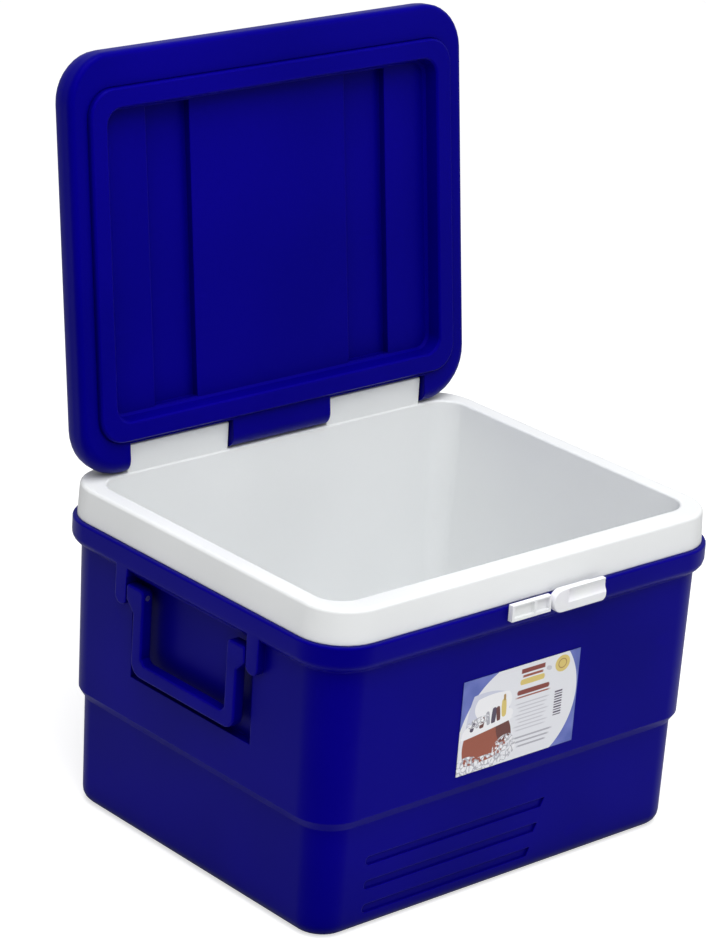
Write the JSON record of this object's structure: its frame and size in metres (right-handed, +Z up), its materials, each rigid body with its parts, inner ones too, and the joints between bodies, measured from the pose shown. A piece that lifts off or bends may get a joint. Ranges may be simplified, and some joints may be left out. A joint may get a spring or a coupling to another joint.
{
  "type": "cooler chest",
  "caption": "Insulated cooler chest with a hinged lid, white liner and rim, folding end handles and a swing latch on the front.",
  "frame": {"origin": "on the floor at the middle of the tub's base", "axes": "+Z up, +X along the front from left to right, +Y from the front to the rear"},
  "size_m": [0.4484, 0.4146, 0.6631],
  "materials": {
    "shell_plastic": "satin moulded blue",
    "lid_plastic": "satin moulded blue",
    "handle_plastic": "satin moulded blue",
    "liner_plastic": "satin moulded white",
    "latch_plastic": "satin moulded white",
    "foam": "expanded foam board",
    "pin_steel": "bright drawn wire",
    "label_print": "printed film label"
  },
  "bodies": {
    "tub": {"outer_shell": "shell_plastic", "inner_liner": "liner_plastic", "foam_front": "foam", "foam_rear": "foam", "foam_left": "foam", "foam_right": "foam", "foam_floor": "foam", "handle_pin_left_front": "pin_steel", "handle_pin_left_rear": "pin_steel", "handle_pin_right_front": "pin_steel", "handle_pin_right_rear": "pin_steel", "latch_base": "latch_plastic", "latch_pin": "pin_steel", "front_label": "label_print"},
    "lid": {"lid_shell": "lid_plastic", "lid_panel": "lid_plastic", "lid_foam": "foam", "hinge_pin_left": "pin_steel", "hinge_pin_right": "pin_steel"},
    "left_handle": {"handle_left": "handle_plastic"},
    "right_handle": {"handle_right": "handle_plastic"},
    "latch": {"latch_lever": "latch_plastic"}
  },
  "joints": [
    {"name": "lid_hinge", "type": "hinge", "parent": "tub", "child": "lid", "pos_m": [0, 0.1625, 0.3135], "axis": [1, 0, 0], "range_deg": [0, 97]},
    {"name": "left_handle_swing", "type": "hinge", "parent": "tub", "child": "left_handle", "pos_m": [-0.2185, 0, 0.231], "axis": [0, 1, 0], "range_deg": [0, 90]},
    {"name": "right_handle_swing", "type": "hinge", "parent": "tub", "child": "right_handle", "pos_m": [0.2185, 0, 0.231], "axis": [0, -1, 0], "range_deg": [0, 90]},
    {"name": "latch_swing", "type": "hinge", "parent": "tub", "child": "latch", "pos_m": [0.02025, -0.187, 0.2643], "axis": [0, -1, 0], "range_deg": [0, 90]}
  ]
}
